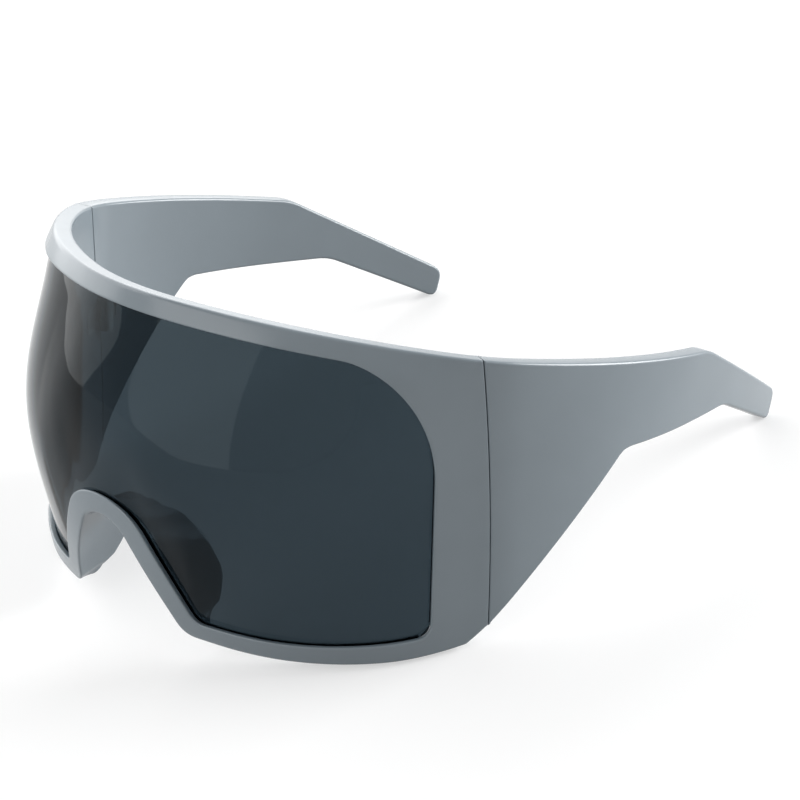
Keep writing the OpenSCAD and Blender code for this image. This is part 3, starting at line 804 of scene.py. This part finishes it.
# Name, azimuth and elevation in degrees, distance, width, height, and power in watts
SOFT_BOXES = (
    ("box_left", -95, 30, 1.2, 2.6, 1.7, 30),
    ("box_front", 0, 25, 1.2, 0.8, 1.4, 7),
    ("box_back", 150, 16, 2.2, 1.4, 1.4, 80),
)

# The view fitted to the photograph's outlines: angles in degrees, the rest in millimetres
VIEW_AZIMUTH, VIEW_ELEVATION, VIEW_ROLL = 47.916, 29.801, 6.638
VIEW_TARGET = (11.243, 0.593, 25.124)
VIEW_DISTANCE = 666.05
VIEW_LENS, SENSOR_W = 135.52, 36
CLIP_START_M, CLIP_END_M = 0.01, 50


def seen_by(nodes, links):
    """1 for the rays that show the background: camera, glossy and transmission."""
    path = nodes.new("ShaderNodeLightPath")
    shown = path.outputs["Is Camera Ray"]
    for ray in ("Is Glossy Ray", "Is Transmission Ray"):
        either = nodes.new("ShaderNodeMath")
        either.operation = "MAXIMUM"
        links.new(shown, either.inputs[0])
        links.new(path.outputs[ray], either.inputs[1])
        shown = either.outputs[0]
    return shown


def white_world():
    """White where it is seen, and only a little light on the object."""
    world = bpy.data.worlds.new("studio")
    bpy.context.scene.world = world
    world.use_nodes = True
    nodes, links = world.node_tree.nodes, world.node_tree.links
    background = nodes["Background"]
    background.inputs["Color"].default_value = (1, 1, 1, 1)
    level = nodes.new("ShaderNodeMapRange")
    level.inputs["To Min"].default_value = AMBIENT
    level.inputs["To Max"].default_value = WHITE_LEVEL
    links.new(seen_by(nodes, links), level.inputs["Value"])
    links.new(level.outputs["Result"], background.inputs["Strength"])


def pale_floor():
    """Grey, so that it keeps the shadow, and lifted to white for the rays that show it."""
    half = FLOOR_SIZE_M / 2
    mesh = bpy.data.meshes.new("studio_floor")
    mesh.from_pydata([(-half, -half, 0), (half, -half, 0), (half, half, 0), (-half, half, 0)],
                     [], [(0, 1, 2, 3)])
    floor = bpy.data.objects.new("studio_floor", mesh)
    bpy.context.scene.collection.objects.link(floor)
    material, nodes, links, shader = new_material("studio_floor")
    shader.inputs["Base Color"].default_value = (FLOOR_GREY, FLOOR_GREY, FLOOR_GREY, 1)
    shader.inputs["Roughness"].default_value = 1
    shader.inputs["Specular IOR Level"].default_value = 0
    shader.inputs["Emission Color"].default_value = (1, 1, 1, 1)
    lift = nodes.new("ShaderNodeMath")
    lift.operation = "MULTIPLY"
    lift.inputs[1].default_value = WHITE_LEVEL - FLOOR_GREY
    links.new(seen_by(nodes, links), lift.inputs[0])
    links.new(lift.outputs[0], shader.inputs["Emission Strength"])
    mesh.materials.append(material)


def direction(azimuth, elevation):
    """From the object towards a place at that azimuth and elevation, in degrees."""
    a, e = radians(azimuth), radians(elevation)
    return Vector((sin(a) * cos(e), -cos(a) * cos(e), sin(e)))


def soft_box(name, azimuth, elevation, distance, width, height, power):
    lamp = bpy.data.lights.new(name, "AREA")
    lamp.shape = "RECTANGLE"
    lamp.size, lamp.size_y = width, height
    lamp.energy = power
    obj = bpy.data.objects.new(name, lamp)
    bpy.context.scene.collection.objects.link(obj)
    obj.visible_camera = False
    obj.location = direction(azimuth, elevation) * distance
    obj.rotation_mode = "QUATERNION"
    obj.rotation_quaternion = (Vector(AIM_M) - obj.location).to_track_quat("-Z", "Y")


def photo_camera():
    """The photograph's view: a long lens, above and to the right of the glasses."""
    data = bpy.data.cameras.new("camera")
    data.lens, data.sensor_width = VIEW_LENS, SENSOR_W
    data.clip_start, data.clip_end = CLIP_START_M, CLIP_END_M
    camera = bpy.data.objects.new("camera", data)
    bpy.context.scene.collection.objects.link(camera)
    back = direction(VIEW_AZIMUTH, VIEW_ELEVATION)
    camera.location = (Vector(VIEW_TARGET) + back * VIEW_DISTANCE) * MM
    camera.rotation_mode = "QUATERNION"
    turn = Matrix.Rotation(radians(-VIEW_ROLL), 4, "Z").to_quaternion()
    camera.rotation_quaternion = (-back).to_track_quat("-Z", "Y") @ turn
    bpy.context.scene.camera = camera


white_world()
pale_floor()
for box in SOFT_BOXES:
    soft_box(*box)
photo_camera()
bpy.context.scene.view_settings.view_transform = "Standard"
